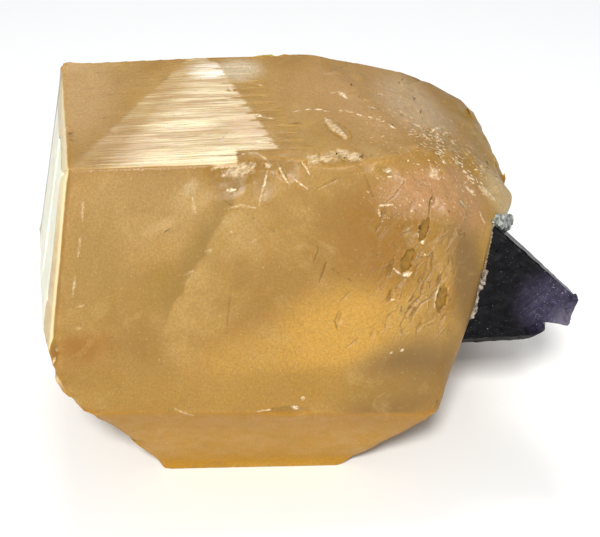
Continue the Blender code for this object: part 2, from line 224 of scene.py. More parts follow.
# Marks by kind and face, each a line of (across, up) points in mm
marks = {
    ("pit", "front"): [
        [(24.2, 3.2), (23.3, 1.5), (22.5, -0.3)], [(26.9, 8.4), (26.2, 6.8), (25.6, 5)],
        [(29.5, -2.9), (29, -5), (28.5, -7.2)],
    ],
    ("groove", "front"): [
        [(27.6, 2.8), (27.5, 1.1)], [(30.5, 2.2), (30.1, 0.5)], [(28.8, -1.3), (28.3, -3)],
        [(22.4, -7.6), (25.2, -4.9), (26, -2.2), (27.6, -0.1)],
        [(23.1, -9.3), (25.2, -5.9), (27, -4.9), (28.2, -3)], [(27, 8.4), (27.2, 10.8), (27.8, 12.3)],
        [(28.6, -9.1), (29.5, -7.8)], [(18.9, 8.2), (18.2, 7)], [(21, 2.1), (20.1, -0.7)],
        [(20.4, -3.3), (19.9, -5.3)], [(8.5, 4.5), (7.6, 2)], [(9.7, 1.9), (8.3, -1.5)],
        [(11.8, -6.3), (10.8, -8), (11.3, -9.9)], [(21.6, -9.8), (23.9, -5.7), (26.3, -3.9)],
        [(27.3, 2), (27.3, -0.2)],
    ],
    ("groove", "striated"): [[(-9.1, -11.6), (-6.5, -11.8), (-3.5, -11.7)]],
    ("crack", "front"): [
        [(24.3, 3.4), (25, 4.2), (25.5, 4.9)], [(25.8, -9.9), (28.4, -9)],
        [(23.1, 15.1), (21.3, 12.5), (19.3, 11.1)], [(16.4, 16.4), (18, 12)], [(25.2, 1.3), (24.1, -1.7)],
        [(26.7, 1.2), (26, -1.1), (24.6, -3.8)], [(19, -9.9), (19.8, -7.7), (22, -6.1)],
        [(24.4, -11.9), (24.7, -9.8), (27.6, -8.4)], [(8.6, 14.3), (12.2, 15.9)],
        [(12.5, -12.8), (14.9, -11.1)], [(-6.4, -2.6), (-7.4, -9.3)], [(13.8, -3), (11.7, -4.9)],
    ],
    ("crack", "strip"): [[(10.1, 4), (10, -0.3)]],
    ("line", "front"): [
        [(26.6, 8.6), (25.5, 7.1), (25.1, 5.3)], [(28.5, -3.1), (27.9, -5), (27.8, -6.9)],
        [(0.6, 18), (-0.5, 14.2), (-1.2, 11.8)], [(2.1, 18.7), (2.9, 16.8), (3.9, 15.1)],
        [(4.8, 15.9), (5.8, 15.1), (6.9, 14.3)], [(6.1, 18.6), (6.7, 17.9), (7.3, 16.7)],
        [(-2.8, -23), (-0.3, -22.9)], [(18.7, 11), (21, 11.1)], [(18.6, 10.5), (18.9, 9)],
        [(20.9, 0.4), (21.8, -0.4), (22.2, -0.7)], [(26.2, 2.6), (26.4, 2.3)],
        [(-35.5, -10.6), (-35.7, -11.1)], [(20.3, -5), (21, -4.9)], [(21.7, -13.8), (22.4, -13.5)],
        [(20, -14.2), (20.5, -13.9)],
    ],
    ("line", "dome_top"): [
        [(-0.7, -1.5), (1.2, -2.4)], [(10.2, -3.8), (11, -6), (12.2, -9.8)], [(10.3, -1.3), (11.1, -1.6)],
        [(13, -1.5), (13.7, -1.6)], [(17.5, -4.2), (18.1, -4.7)], [(18.6, -4.8), (19.4, -6.4)],
        [(0.7, 8.2), (1.5, 7.5)], [(12.8, 3.7), (13.8, 4.3)], [(18.1, -0.8), (19.4, -1.8)],
    ],
    ("line", "shoulder"): [[(5.1, -11.4), (4.6, -12.6), (4.8, -13.7)]],
    ("faint", "front"): [
        [(-6.9, 11.5), (-4.2, 12), (-1.7, 11.5)], [(-12.1, 13.6), (-11.7, 10.9)],
        [(-29.9, 13.7), (-30.2, 10.5)], [(-30.6, 8), (-31.2, 4.6)], [(-31.8, 1.6), (-32.5, -2.4)],
        [(-16.8, -21.7), (-15.3, -22.5), (-13.5, -23.4)], [(-10.4, 4.5), (-9.1, 4.9)],
        [(-32, -3.8), (-30.7, -3.5)], [(-32.2, -7.4), (-31.4, -7.3)], [(-6, 7.8), (-5.9, 7.5)],
        [(-2.5, 5.8), (-1.8, 6.3)], [(-13.9, 0.8), (-12.1, 1.6)],
    ],
    ("faint", "striated"): [[(-4.7, -12.3), (-3, -11.4), (-1.2, -11.5), (1.2, -13.7)]],
    ("faint", "dome_top"): [[(4.7, -0.9), (6.7, -0.8)]],
    ("dash", "striated"): [[(-1, -8.3), (1.8, -8.9)]],
    ("dash", "front"): [[(-35.9, -12.1), (-36.3, -13.3)]],
    ("dash", "dome_top"): [
        [(7.2, -0.7), (8.1, -0.7)], [(8.7, -0.8), (10.1, -0.9)], [(14, -1.7), (15.3, -2.5)],
        [(15.7, -3.1), (16.8, -4.1)], [(20.2, -6.8), (21.2, -8.5)],
    ],
    ("dash", "dome_mid"): [[(-3.9, -16.6), (-4.5, -18.8)]],
    ("dash", "dome_side"): [[(-6.8, -9.8), (-4, -11.5), (-1.5, -13.1)]],
    ("flake", "dome_top"): [[(-1.7, -0.4), (-0.7, -1.5)], [(14.3, 4.3), (15.3, 1.8)]],
    ("flake", "striated"): [[(-4.9, 7.9), (-4.4, 6.6)]],
    ("flake", "front"): [
        [(-6.4, 14.6), (-4.9, 14.6)], [(0.2, 18.6), (0.8, 18.2)], [(3.1, -22.5), (4.3, -22.9)],
        [(5.1, -20.8), (5, -21.4)], [(22.3, -0.8), (23, -0.8), (23.9, -0.4)], [(25.8, 4.8), (26, 4.4)],
    ],
    ("flake", "dome_mid"): [[(-4.6, -18.8), (-6.2, -19.2), (-7.3, -19.6)]],
    ("flake", "dome_front"): [[(15.2, 6.6), (16.2, 6.3)]],
    ("flake", "shoulder"): [
        [(3.4, -0.7), (3.9, -1.2)], [(6.2, -2.3), (7.1, -2.6)], [(5.3, -6.6), (6.5, -8.9)],
        [(15.7, -9.3), (16.2, -10.2)],
    ],
    ("patch", "front"): [[(-6.8, 17.1), (-4.2, 17.7), (-1.8, 18.6)]],
    ("patch", "dome_top"): [
        [(4.4, -15.3), (5.8, -13.9)], [(5.9, -14.7), (9.8, -14)], [(9.8, -12.8), (11.2, -15.4)],
        [(11.5, -14.3), (12.7, -15.9)],
    ],
    ("patch", "dome_front"): [[(23.2, 5.6), (23.8, 4.4)]],
    ("scale", "dome_top"): [[(10, -3.6), (10.5, -6.7), (11.4, -8.7), (11.9, -10.1)]],
    ("scale", "shoulder"): [[(9, -8.2), (10.9, -11.8)]],
}


def eachMark():
    # each mark as its kind, its face and its line
    for (kind, face), lines in marks.items():
        for line in lines:
            yield kind, face, np.array(line, dtype=float)


def markField(points, kind, face, line):
    # for the points near a mark: which they are, how far off its line in mm, and how far along it
    place = local(points, face)
    reach = markKinds[kind]["width"] / 2 + 2.5
    low, high = line.min(axis=0) - reach, line.max(axis=0) + reach
    near = (np.abs(place[:, 2]) < 1.8) & (place[:, :2] > low).all(axis=1) & (place[:, :2] < high).all(axis=1)
    which = np.flatnonzero(near)
    spots = place[which, :2]
    lengths = np.linalg.norm(np.diff(line, axis=0), axis=1)
    away = np.full(len(which), 1e9)
    along = np.zeros(len(which))
    for i, (start, end) in enumerate(zip(line, line[1:])):
        share = np.clip((spots - start) @ (end - start) / lengths[i] ** 2, 0, 1)
        off = np.linalg.norm(spots - start - share[:, None] * (end - start), axis=1)
        closer = off < away
        away = np.where(closer, off, away)
        along = np.where(closer, (lengths[:i].sum() + share * lengths[i]) / lengths.sum(), along)
    return which, away, along


def calciteDetail(points):
    # the mesh is fine where the crystal is rough, and finest beside a mark
    x, y, z = points.T
    across, up, out = local(points, "front").T
    size = np.full(len(points), skin["coarse"])
    size[(y < 4) | (z > 52)] = skin["medium"]
    pitted = (across > 9) & (across < 33) & (np.abs(up) < 15) & (out > -2)
    netted = (across > 14) & (across < 31) & (np.abs(up + 2) < 12) & (out > -2)
    chipped = (np.abs(across - 3) < 12) & (up > 11) & (out > -2)
    dome = (x > 6) & (y < 16) & (z > 47)
    size[pitted | dome | chipped] = skin["fine"]
    size[netted] = skin["net"]
    size[(z < 3.5) & (y < -4)] = skin["foot"]
    overTop = local(points, "striated")[:, 2]
    size[(np.abs(out + 0.2) < 0.7) & (np.abs(overTop + 0.2) < 0.7)] = skin["edge"]
    for kind, face, line in eachMark():
        which, away, _ = markField(points, kind, face, line)
        wanted = skin["mark"] + np.maximum(away - markKinds[kind]["width"] / 2, 0)
        size[which] = np.minimum(size[which], wanted)
    return size


def ridgeLines():
    # growth ridges of the striated face: level, width, height, left end and right end in mm
    chance = random.Random(skin["seed"])
    low, high = skin["ridgeSpan"]
    ridges = []
    for i in range(skin["ridges"]):
        level = low + (i + chance.uniform(0.2, 0.8)) * (high - low) / skin["ridges"]
        width = chance.uniform(0.4, 0.75)
        height = chance.uniform(*skin["ridgeHeight"]) * chance.choice((-1, 1, 1))
        left = silkLeft(level) + chance.uniform(-1.0, 7.0) * chance.random()
        ridges.append((level, width, height, left, silkRight(level) + chance.uniform(-0.4, 0.5)))
    return ridges


def silkLeft(level):
    return -12.2 - (16.8 - level) * 0.65


def silkRight(level):
    return -7.2 + (17.7 - level) * 0.34


def ridgeCuts(bm):
    # cuts along each ridge's crest and both its feet, so that it can be raised
    place = faceFrame("striated")
    lean = Matrix.Rotation(radians(skin["ridgeLean"]), 3, "Z")
    upward = (place.to_3x3() @ lean @ Vector((0, 1, 0))).normalized()
    normal = place.to_3x3() @ Vector((0, 0, 1))
    onIt = [f for f in bm.faces if f.normal.dot(normal) > 0.9985]
    for level, width, _, _, _ in ridgeLines():
        for side in (-0.5, 0, 0.5):
            onIt = [f for f in onIt if f.is_valid]
            edges = {e for f in onIt for e in f.edges}
            verts = {v for f in onIt for v in f.verts}
            cut = bmesh.ops.bisect_plane(bm, geom=list(verts) + list(edges) + onIt, dist=1e-7,
                                         plane_co=place @ Vector((0, level + side * width, 0)) * mm,
                                         plane_no=upward)
            onIt = [g for g in cut["geom"] if isinstance(g, bmesh.types.BMFace)]
    cutWide(bm)
    return normal


def calciteMesh():
    bm = solidMesh("calcite_crystal", 0.05 * mm)
    plainFaces(bm)
    striated = ridgeCuts(bm)
    foot = bm.verts[:] + bm.edges[:] + bm.faces[:]
    bmesh.ops.bisect_plane(bm, geom=foot, dist=1e-7, plane_co=(0, 0, skin["footHeight"] * mm),
                           plane_no=(0, 0, 1))
    cutWide(bm)
    refine(bm, calciteDetail, 10, keep=striated)
    # what isn't on a flat face was carved: worn edges, chips and pits get a little rounder
    bm.normal_update()
    ideal = np.array([facing(d, s) for d, s, _ in calcite["faces"].values()])
    normals = np.array([f.normal for f in bm.faces])
    flat = (normals @ ideal.T).max(axis=1) > cos(radians(1.5))
    carved = {v for f, isFlat in zip(bm.faces, flat) if not isFlat for v in f.verts}
    stepped = [v for v in carved if v.normal.dot(striated) > 0.97]
    for some in (list(carved), stepped, stepped):
        smooth(bm, some)
    return bm


def creaseNet(front, amount):
    # long lens-shaped plates that lean to the upper right, with a crease around each
    lean = radians(60)
    along = front[:, 0] * cos(lean) + front[:, 1] * sin(lean)
    over = -front[:, 0] * sin(lean) + front[:, 1] * cos(lean)
    crease, lift = np.zeros(len(front)), np.zeros(len(front))
    for i in np.flatnonzero(amount > 0.01):
        spot = Vector((over[i] / 2.0, along[i] / 6.0, 0.0))
        spot += Vector((noise.noise(spot * 2.3), noise.noise(spot * 2.3 + Vector((9, 9, 9))), 0)) * 0.35
        gaps, seeds = noise.voronoi(spot, distance_metric="DISTANCE")
        crease[i] = 1 - min((gaps[1] - gaps[0]) / 0.13, 1.0)
        lift[i] = noise.cell(seeds[0] * 9.0) * 0.05 + (spot.x - seeds[0].x) * 0.08
    return crease * amount, lift * amount


def calciteShift(points):
    # how far the outline's swells, the top's back edge and the foot are moved
    x, y, z = points.T
    shift = np.zeros(points.shape)
    for place, reach, push in skin["swells"]:
        near = 1 - ramp(np.linalg.norm(points - place, axis=1), 0, reach)
        shift += near[:, None] * push
    back = ramp(y, -12, 12) * (1 - ramp(x, 0, 6)) * skin["backStretch"]
    shift += back[:, None] * (0, 0.98, 0.19)
    foot = np.clip(1 - z / skin["footHeight"], 0, 1) ** 2 * (1 - ramp(y, -14, -4))
    shift[:, 1] -= foot * band(x, *skin["footSpan"], 4) * skin["footStep"]
    return shift


def markRelief(points, move):
    # sinks or raises the skin along each mark and returns how frosted, dark and golden it is
    frost, shade, glow = np.zeros(len(points)), np.zeros(len(points)), np.zeros(len(points))
    for name, face, line in eachMark():
        kind = markKinds[name]
        which, away, share = markField(points, name, face, line)
        ragged = noiseAt(points[which], 0.8, 4, 2)
        half = kind["width"] / 2 * (0.3 + 0.7 * np.sin(pi * np.clip(share, 0.02, 0.98))) * (1 + 0.5 * ragged)
        amount = 1 - ramp(away / half, 0.7 if name == "pit" else 0.4, 1.05)
        move[which] += amount * kind["height"]
        for field, look in ((frost, "frost"), (shade, "shade"), (glow, "glow")):
            field[which] = np.maximum(field[which], amount * kind.get(look, 0))
        if name == "pit":
            shade[which] = np.maximum(shade[which], 0.9 * band(away / half, 0.85, 1.05, 0.1))
    return frost, shade, glow


def onEdge(first, second, width):
    # 1 where two faces meet, from how deep each spot lies inside them
    return 1 - ramp(np.maximum(first, second), 0.10, width)


def calciteRelief(bm):
    # moves the skin by fractions of a mm and returns how each spot looks
    bm.verts.ensure_lookup_table()
    bm.normal_update()
    points = np.array([v.co for v in bm.verts]) / mm
    normals = np.array([v.normal for v in bm.verts])
    x, y, z = points.T
    inside = distances(points)
    column = {name: inside[:, i] for i, name in enumerate(calcite["faces"])}
    move = noiseAt(points, 9.0, 8, 2) * 0.03
    # ridges of the striated face, and between two slanting limits the zone that gets a painted sheen
    across, rise, out = local(points, "striated").T
    level = rise - across * tan(radians(skin["ridgeLean"]))
    up = np.array(facing(5, 79))
    others = np.min([depth for name, depth in column.items() if name not in ("striated", "dome_top")], axis=0)
    onTop = (np.abs(out) < 0.8) * (column["dome_top"] > 0.03)
    ridged = onTop * ramp(others, 0.35, 0.6)
    ridged *= 1 - ramp(across, -5, -4.2) * (1 - ramp(rise, -11.5, -10.5))
    normals = np.where(ridged[:, None] > 0.5, up, normals)
    shift = calciteShift(points) - (out * 0.97 * ridged)[:, None] * up
    for height, width, lift, left, right in ridgeLines():
        crest = np.clip(1 - np.abs(level - height) / width * 2, 0, 1)
        fade = 1 - ramp(across, right - 3, right)
        move += crest * lift * ridged * ramp(across, left - 1, left + 1) * fade
    silkSheen = ramp(across, silkLeft(rise) - 2.0, silkLeft(rise) + 12 - rise * 0.2)
    silkSheen *= (1 - ramp(across, silkRight(rise) + 2.5, silkRight(rise) + 4)) * onTop * (others > -0.05)
    silkSheen *= 1 - ramp(across, -4.8, -4.2) * (1 - ramp(rise, -11.0, -10.0))
    # scaly growth on the dome, creases on the right of the front face
    front = local(points, "front")
    dome = ramp(x, 4, 16) * ramp(z, 47, 51) * (1 - ramp(y, 6, 18))
    scaly = 1 - ramp(np.linalg.norm(points - skin["scaly"], axis=1), 5, 11)
    move += (noiseAt(points, 2.6, 1) * 0.11 + noiseAt(points, 1.1, 2, 2) * 0.05) * dome
    move += np.abs(noiseAt(points, 1.7, 3, 3)) * 0.28 * scaly
    # the edges between the dome's faces are gently rounded
    soft = ("striated", "dome_top", "dome_mid", "dome_side", "dome_front", "shoulder", "right_back")
    depth = np.sort([column[name] for name in soft], axis=0)
    bend = (1 - np.clip(depth[1] / 3.2, 0, 1)) ** 2 * (depth[0] < 0.5)
    move -= bend * 0.22 * ramp(x, 2, 8)
    # chips along the top of the front face
    hollow = np.clip((inside.min(axis=1) - 0.14) / 0.4, 0, 1)
    chipped = ramp(hollow, 0, 0.3) * band(front[:, 0], -9, 14, 2) * ramp(front[:, 1], 8, 11)
    chipped *= front[:, 2] > -2
    move += noiseAt(points, 0.9, 6, 2) * 0.12 * chipped
    creased = ramp(front[:, 0], 14, 22) * band(front[:, 1], -11, 9, 3) * (front[:, 2] > -1.2)
    net, tilt = creaseNet(front, creased)
    frost, shade, glow = markRelief(points, move)
    move += (tilt - net * 0.08) * (1 - glow)
    shade = np.maximum(shade, net * 0.20 * (1 - glow))
    for v, p in zip(bm.verts, points + normals * move[:, None] + shift):
        v.co = Vector(p) * mm
    # the front edge of the top is paler on the right, its back edge is dark
    rim = onEdge(column["striated"], column["front"], 0.34) * (0.35 + 0.65 * ramp(x, -8, 2))
    tops = ("striated", "dome_top", "dome_mid")
    dark = np.max([onEdge(column[name], column["upper_back"], 0.36) for name in tops], axis=0)
    return {
        "silkSheen": silkSheen,
        "rough": np.max([scaly, dome * 0.30, creased * 0.10, chipped * 0.18], axis=0),
        "hollow": hollow,
        "frost": frost,
        "glow": glow,
        "shade": np.maximum(shade, dark * 0.5),
        "rim": rim,
        "creased": creased,
    }


def finishPiece(bm, name, material, node, masks=None, sharp=30.0):
    mesh = bpy.data.meshes.new(name)
    bm.to_mesh(mesh)
    bm.free()
    mesh.shade_smooth()
    mesh.set_sharp_from_angle(angle=radians(sharp))
    for label, values in (masks or {}).items():
        layer = mesh.attributes.new(label, "FLOAT", "POINT")
        layer.data.foreach_set("value", values.astype(np.float32))
    piece = bpy.data.objects.new(name, mesh)
    bpy.context.scene.collection.objects.link(piece)
    mesh.materials.append(material)
    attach(piece, "root")
    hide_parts(node)
    print(name, len(mesh.polygons), "faces")


class Nodes:
    # short names for the shader nodes that every material here is made of
    def __init__(self, name):
        self.material = bpy.data.materials.new(name)
        self.material.use_nodes = True
        self.tree = self.material.node_tree
        self.shader = self.tree.nodes["Principled BSDF"]
        self.coords = self.tree.nodes.new("ShaderNodeTexCoord").outputs["Object"]

    def add(self, kind, **values):
        node = self.tree.nodes.new(kind)
        for key, value in values.items():
            setattr(node, key, value)
        return node

    def link(self, source, target):
        if isinstance(source, (int, float)):
            target.default_value = source
        elif isinstance(source, (tuple, list)):
            target.default_value = (*source, 1.0)[:len(target.default_value)]
        else:
            self.tree.links.new(source, target)

    def mapped(self, place, turn, size):
        # object coordinates from a place in mm, along axes that may be turned and stretched
        node = self.add("ShaderNodeMapping", vector_type="TEXTURE")
        self.fill(node, Vector=self.coords, Location=tuple(Vector(place) * mm), Rotation=tuple(turn),
                  Scale=tuple(Vector(size) * mm))
        return node.outputs["Vector"]

    def inMm(self, stretch=(1, 1, 1), turn=(0, 0, 0)):
        return self.mapped((0, 0, 0), [radians(a) for a in turn], stretch)

    def inFace(self, face, centre=(0, 0, 0), size=(1, 1, 1), turn=0.0):
        # coordinates that lie in a crystal face: across, up and outwards from a place on it
        turned = faceFrame(face).to_3x3() @ Matrix.Rotation(radians(turn), 3, "Z")
        return self.mapped(onFace(face, *centre), turned.to_euler(), size)

    def ball(self, vector):
        # 1 at the centre of a soft ball, 0 at its rim
        node = self.add("ShaderNodeTexGradient", gradient_type="SPHERICAL")
        self.fill(node, Vector=vector)
        return node.outputs["Fac"]

    def noise(self, size, detail=3.0, roughness=0.5, vector=None, distortion=0.0):
        node = self.add("ShaderNodeTexNoise")
        self.fill(node, Vector=vector or self.inMm(), Scale=1.0 / size, Detail=detail,
                  Roughness=roughness, Distortion=distortion)
        return node.outputs["Fac"]

    def span(self, value, low, high, toLow=0.0, toHigh=1.0, smooth=True):
        node = self.add("ShaderNodeMapRange", interpolation_type="SMOOTHSTEP" if smooth else "LINEAR")
        self.fill(node, Value=value, From_Min=low, From_Max=high, To_Min=toLow, To_Max=toHigh)
        return node.outputs["Result"]

    def math(self, operation, first, *others):
        # the first value combined with each of the others in turn
        for other in others or (0.0,):
            node = self.add("ShaderNodeMath", operation=operation)
            self.link(first, node.inputs[0])
            self.link(other, node.inputs[1])
            first = node.outputs["Value"]
        return first

    def times(self, *values):
        return self.math("MULTIPLY", *values)

    def plus(self, *values):
        return self.math("ADD", *values)

    def minus(self, *values):
        return self.math("SUBTRACT", *values)

    def largest(self, *values):
        return self.math("MAXIMUM", *values)

    def mix(self, amount, first, second):
        node = self.add("ShaderNodeMix", data_type="RGBA")
        for socket, value in ((0, amount), (6, first), (7, second)):
            self.link(value, node.inputs[socket])
        return node.outputs[2]

    def mask(self, name):
        return self.add("ShaderNodeAttribute", attribute_name=name).outputs["Fac"]

    def axes(self, vector):
        node = self.add("ShaderNodeSeparateXYZ")
        self.link(vector, node.inputs[0])
        return node.outputs

    def under(self, face):
        # how deep a spot lies under the plane of a crystal face, and where across and up it
        across, up, out = self.axes(self.inFace(face))
        return self.times(out, -1.0), across, up

    def bent(self, vector, size, amount):
        # the same coordinates, bent by noise
        cloud = self.add("ShaderNodeTexNoise")
        self.fill(cloud, Vector=self.inMm(), Scale=1.0 / size)
        node = self.add("ShaderNodeVectorMath", operation="MULTIPLY_ADD")
        for source, target in zip((cloud.outputs["Color"], (amount, amount, amount), vector), node.inputs):
            self.link(source, target)
        return node.outputs["Vector"]

    def bump(self, height, strength, distance, normal=None):
        node = self.add("ShaderNodeBump")
        self.fill(node, Strength=strength, Distance=distance * mm, Height=height)
        if normal:
            self.fill(node, Normal=normal)
        return node.outputs["Normal"]

    def fill(self, node, **values):
        # numbers, colours and links for the named inputs of a node
        for key, value in values.items():
            self.link(value, node.inputs[key.replace("_", " ")])

    def set(self, **values):
        self.fill(self.shader, **values)


# Colours of the honey calcite. A zone has a face, its place there (across, up, depth),
# its size (across, up, out) in mm, its turn in degrees, a colour and a strength.
honey = {
    "dark": (0.31, 0.165, 0.026),
    "light": (0.4, 0.235, 0.056),
    "zones": [
        # painted glow: the next two bright warm zones stand in for light shining through the lower middle of
        # the crystal
        ("front", (11.1, -10.2, 2), (19, 11, 9), 20, (0.54, 0.3, 0.046), 0.85),
        ("front", (-4.6, -15.3, 2), (13, 9, 9), 10, (0.46, 0.262, 0.048), 0.75),
        ("front", (-20, 12.5, 2), (17, 10, 11), 0, (0.37, 0.225, 0.068), 0.7),
        ("front", (-12.4, 13.4, 1), (5, 4, 5), 30, (0.47, 0.32, 0.12), 0.45),
        ("front", (-5, 7.5, 1), (7, 5, 5), 40, (0.47, 0.31, 0.11), 0.45),
        ("front", (-17.3, -1, 1), (8, 5, 9), 30, (0.29, 0.165, 0.022), 0.75),
        ("front", (-10, 5.5, 1), (4, 7, 6), -40, (0.27, 0.16, 0.026), 0.6),
        ("front", (-29, 2, 1), (9, 13, 6), 0, (0.31, 0.182, 0.036), 0.7),
        ("front", (-32.1, -11, 1), (7, 3.5, 5), 10, (0.3, 0.13, 0.008), 0.85),
        ("front", (-17.2, 9.2, 0.5), (4.5, 1.3, 3), 20, (0.5, 0.34, 0.14), 0.5),
        ("front", (-12.4, 15.2, 0.5), (2.2, 1.4, 3), 50, (0.54, 0.39, 0.19), 0.6),
        ("front", (-6, 9.7, 0.5), (3, 1.3, 3), 30, (0.5, 0.35, 0.15), 0.5),
        ("front", (-12.7, 0.3, 0.5), (2.6, 1, 3), 35, (0.5, 0.35, 0.15), 0.45),
        # painted shade: the lower right of the front face is darker
        ("front", (22, -19, 1), (17, 9, 14), 22, (0.17, 0.095, 0.028), 0.9),
        ("front", (4, -19, 1), (16, 4, 9), 0, (0.33, 0.18, 0.024), 0.55),
        ("front", (-22, -18, 1), (16, 7, 9), 0, (0.34, 0.19, 0.034), 0.7),
        ("front", (0, -20, 1), (40, 6, 9), 0, (0.36, 0.2, 0.028), 0.6),
        ("front", (19, 6, 1), (13, 12, 9), 0, (0.28, 0.13, 0.012), 0.85),
        # painted shade: the strip on the right side is darker
        ("strip", (13, -3, 1), (5, 22, 6), 0, (0.205, 0.115, 0.038), 0.9),
        ("base", (3, 28, 0), (22, 9, 2), 0, (0.66, 0.5, 0.2), 0.85),
        ("dome_front", (23, 2, 1), (13, 6, 6), -8, (0.44, 0.245, 0.112), 0.9),
        ("shoulder", (4, -8, 1), (7, 9, 6), 0, (0.43, 0.24, 0.11), 0.8),
        ("dome_top", (13, 4, 1), (16, 12, 7), -20, (0.4, 0.215, 0.066), 0.6),
        ("dome_mid", (4, -14, 1), (24, 22, 9), 0, (0.41, 0.24, 0.092), 0.8),
        ("dome_side", (3, -8, 1), (16, 10, 7), 0, (0.52, 0.365, 0.21), 0.8),
        ("shoulder", (13.7, -12.2, 1), (6, 9, 9), 0, (0.5, 0.37, 0.19), 0.9),
        ("striated", (-31, 8, 1), (10, 22, 5), 0, (0.47, 0.3, 0.125), 0.75),
        ("dome_top", (-1.9, 13.8, 0), (6, 5, 4), 0, (0.58, 0.48, 0.33), 0.85),
    ],
    "lowerTop": (0.365, 0.168, 0.003),
    "lowerFoot": (0.46, 0.228, 0.004),
    "veil": {"place": (-7.6, 8.7, 0), "turn": -33.5, "below": 19.0, "above": 10.0},
    "wispLight": (0.47, 0.31, 0.11),
    "wispDark": (0.25, 0.135, 0.022),
    "grain": (0.2, 0.11, 0.018),
    "dots": (0.62, 0.47, 0.24),
    "veilDark": (0.25, 0.145, 0.022),
    "veilLight": (0.46, 0.29, 0.085),
    # painted sheen: cream colours stand in for light reflected by the striated face, with a darker tone
    # between its streaks
    "silkSheen": (0.8, 0.69, 0.45),
    "silkShadow": (0.47, 0.32, 0.165),
    # patches where the painted sheen is paler or darker; the near-white one is a painted highlight
    "silkZones": [
        ((-8.5, 13.8, 0), (5, 3.5, 3), 0, (0.97, 0.95, 0.84), 0.9),
        ((-13.7, -3, 0), (9, 2.2, 3), 0, (0.9, 0.8, 0.55), 0.7),
        ((-11.5, -12.4, 0), (15, 1.6, 3), 2, (0.8, 0.7, 0.47), 0.8),
        ((-24, -8, 0), (8, 6, 3), 0, (0.62, 0.45, 0.3), 0.7),
        ((-1.5, -3.5, 0), (5, 5, 3), 0, (0.62, 0.44, 0.29), 0.6),
    ],
    "frost": (0.82, 0.68, 0.47),
    "bevel": (0.52, 0.405, 0.245),
    "bevelTop": (0.64, 0.56, 0.37),
    "rim": (0.8, 0.68, 0.4),
    # painted reflection: the end face is near white where it mirrors the bright room at a grazing angle
    "endReflection": (0.94, 0.92, 0.73),
    "paleShadow": (0.87, 0.84, 0.65),
    "outline": (0.2, 0.17, 0.11),
    "deep": (0.19, 0.095, 0.016),
    "glow": (0.34, 0.172, 0.026),
    "glowShadow": (0.24, 0.128, 0.02),
    "scatter": (1, 0.5, 0.18),
}


def veil(n, colour):
    # an inner cleavage plane seen edge-on: dark on its left, light on its right
    plan = honey["veil"]
    across, up, out = n.axes(n.inFace("front", plan["place"], (1, 1, 1), plan["turn"]))
    side = n.plus(across, n.span(n.noise(7, 2), 0.2, 0.8, -1.4, 1.4, smooth=False))
    reach = n.times(n.span(up, -plan["below"] - 4, -plan["below"] + 4),
                    n.span(up, plan["above"] - 3, plan["above"] + 3, 1.0, 0.0), n.span(out, -6, -3))
    dark = n.times(n.span(side, -4.5, -0.7), n.span(side, -0.3, 0.2, 1.0, 0.0), reach, 0.55)
    light = n.times(n.span(side, -0.2, 0.4), n.span(side, 0.5, 6.0, 1.0, 0.0), reach, 0.45)
    return n.mix(light, n.mix(dark, colour, honey["veilDark"]), honey["veilLight"])


def leftEnd(n, colour):
    # the end face is painted whitish below a slanting limit, a painted reflection of the bright room at a
    # grazing angle, and a cream band runs along its right edge
    names = ("front", "striated", "bevel_high", "bevel_low", "low_left", "end_back")
    deep = {name: n.under(name)[0] for name in names}

    def inside(name):
        return n.span(deep[name], 0.10, 0.25)

    def onPlane(name):
        return n.span(deep[name], 0.25, 0.10)

    under, across, up = n.under("end")
    height = n.axes(n.inMm())[2]
    fall = n.largest(n.minus(across, 2.0), 0.0)
    below = n.minus(20.7, n.times(fall, fall, 0.0051), up)
    onEnd = n.times(n.span(under, 1.3, 1.1), inside("bevel_low"), inside("bevel_high"))
    endReflection = n.times(onEnd, n.span(below, 0.0, 0.2))
    beside = n.largest(onPlane("bevel_low"), onPlane("bevel_high"),
                       n.times(onPlane("low_left"), n.span(height, 25.0, 29.0)),
                       n.times(onEnd, n.span(below, 0.2, 0.0)))
    beside = n.times(beside, n.times(inside("front"), inside("striated")))
    tone = n.mix(n.span(height, 45.0, 60.0), honey["bevel"], honey["bevelTop"])
    tone = n.mix(n.span(n.noise(2.5, 4, 0.6), 0.35, 0.65, 0.0, 0.5), tone, honey["bevelTop"])
    tone = n.mix(n.span(deep["front"], 0.75, 0.40, 0.0, 0.7), tone, honey["rim"])
    colour = n.mix(n.times(beside, 0.92), colour, tone)
    white = n.mix(n.span(n.noise(6, 3), 0.35, 0.65), honey["endReflection"], honey["paleShadow"])
    colour = n.mix(n.times(endReflection, 0.95), colour, white)
    outline = n.times(n.span(n.math("ABSOLUTE", below), 0.30, 0.10), n.span(under, 0.5, 0.2))
    farSide = n.times(n.span(deep["end_back"], 1.7, 1.0), n.largest(endReflection, beside))
    colour = n.mix(n.times(n.largest(outline, farSide), 0.55), colour, honey["outline"])
    besideFront = n.times(n.span(deep["bevel_low"], 0.50, 0.25), onPlane("front"))
    return n.mix(n.times(besideFront, 0.35), colour, honey["deep"])


def creaseLines(n, shift=0.0):
    # thin broken creases around long plates that lean to the upper right
    vector = n.bent(n.inFace("front", (24.0 - shift, shift), (1.6, 6.5, 4.0), -32), 2.5, 0.45)
    plates = n.add("ShaderNodeTexVoronoi", feature="DISTANCE_TO_EDGE")
    n.fill(plates, Vector=vector, Scale=1.0)
    lines = n.span(plates.outputs["Distance"], 0.045, 0.015)
    return n.times(lines, n.span(n.noise(2.2, 3, 0.6), 0.50, 0.56), n.mask("creased"))


